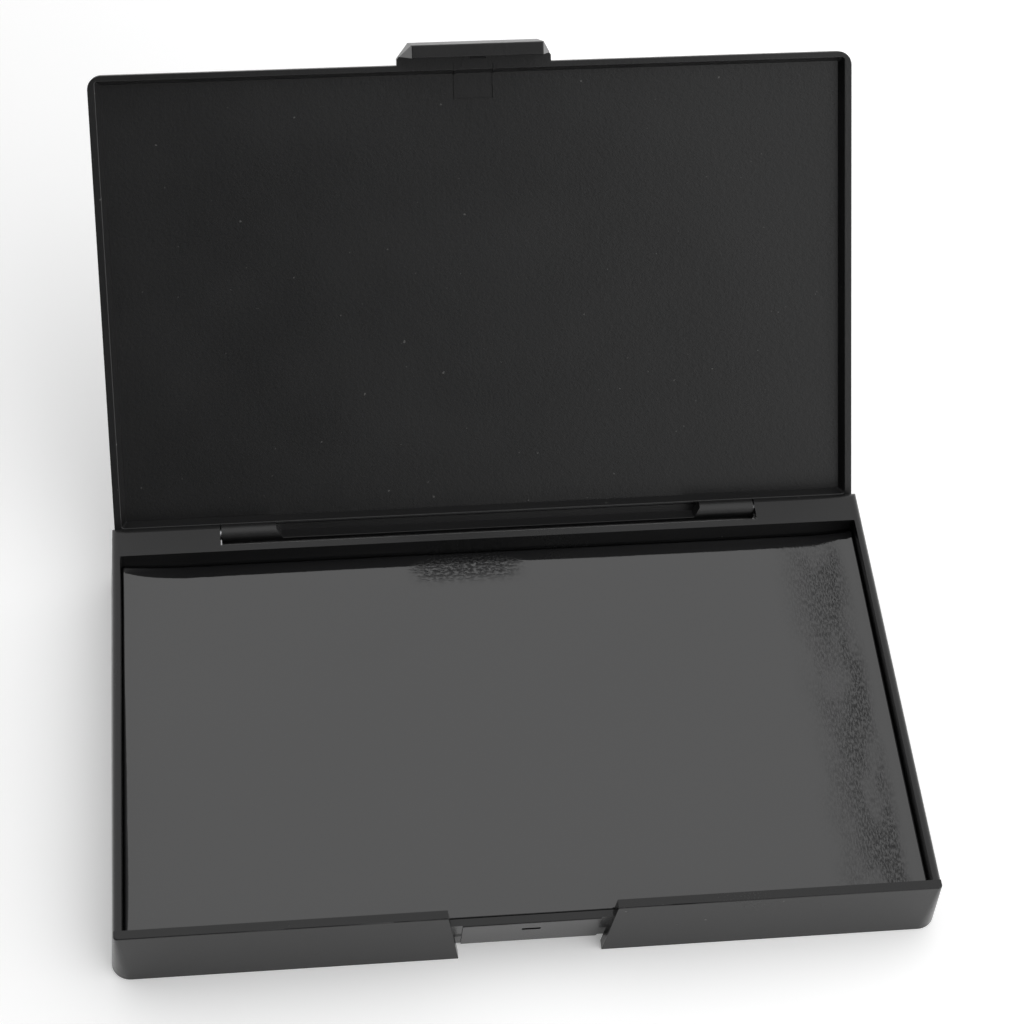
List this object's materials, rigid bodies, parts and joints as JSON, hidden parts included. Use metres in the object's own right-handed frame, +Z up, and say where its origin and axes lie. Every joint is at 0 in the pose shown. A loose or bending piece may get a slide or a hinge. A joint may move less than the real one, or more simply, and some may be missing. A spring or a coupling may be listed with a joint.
{
  "type": "hinged ink pad",
  "caption": "Large hinged ink pad: flat black case with a cloth-covered felt pad set in a shallow well, and a shallow lid with a front latch tab that stands open.",
  "frame": {"origin": "middle of the tray's underside, on the table", "axes": "+Z up, +Y from the latch side to the hinge side, +X to the right seen from the latch side"},
  "size_m": [0.1684, 0.1718, 0.0995],
  "materials": {
    "case": "satin",
    "case_lid": "fine matte grain",
    "pad_cloth": "woven cloth wet with black ink",
    "felt": "ink-soaked felt",
    "board": "matte",
    "adhesive": "double-sided tape",
    "pin_steel": "drawn"
  },
  "bodies": {
    "base": {"base_tray": "case", "pad_cloth_cover": "pad_cloth", "pad_felt_core": "felt", "pad_backing_board": "board", "adhesive_sheet": "adhesive", "hinge_pin_left": "pin_steel", "hinge_pin_right": "pin_steel"},
    "lid": {"lid_shell": "case_lid"}
  },
  "joints": [
    {"name": "lid_hinge", "type": "hinge", "parent": "base", "child": "lid", "pos_m": [0, 0.0486, 0.0142], "axis": [1, 0, 0], "range_deg": [0, 130]}
  ]
}
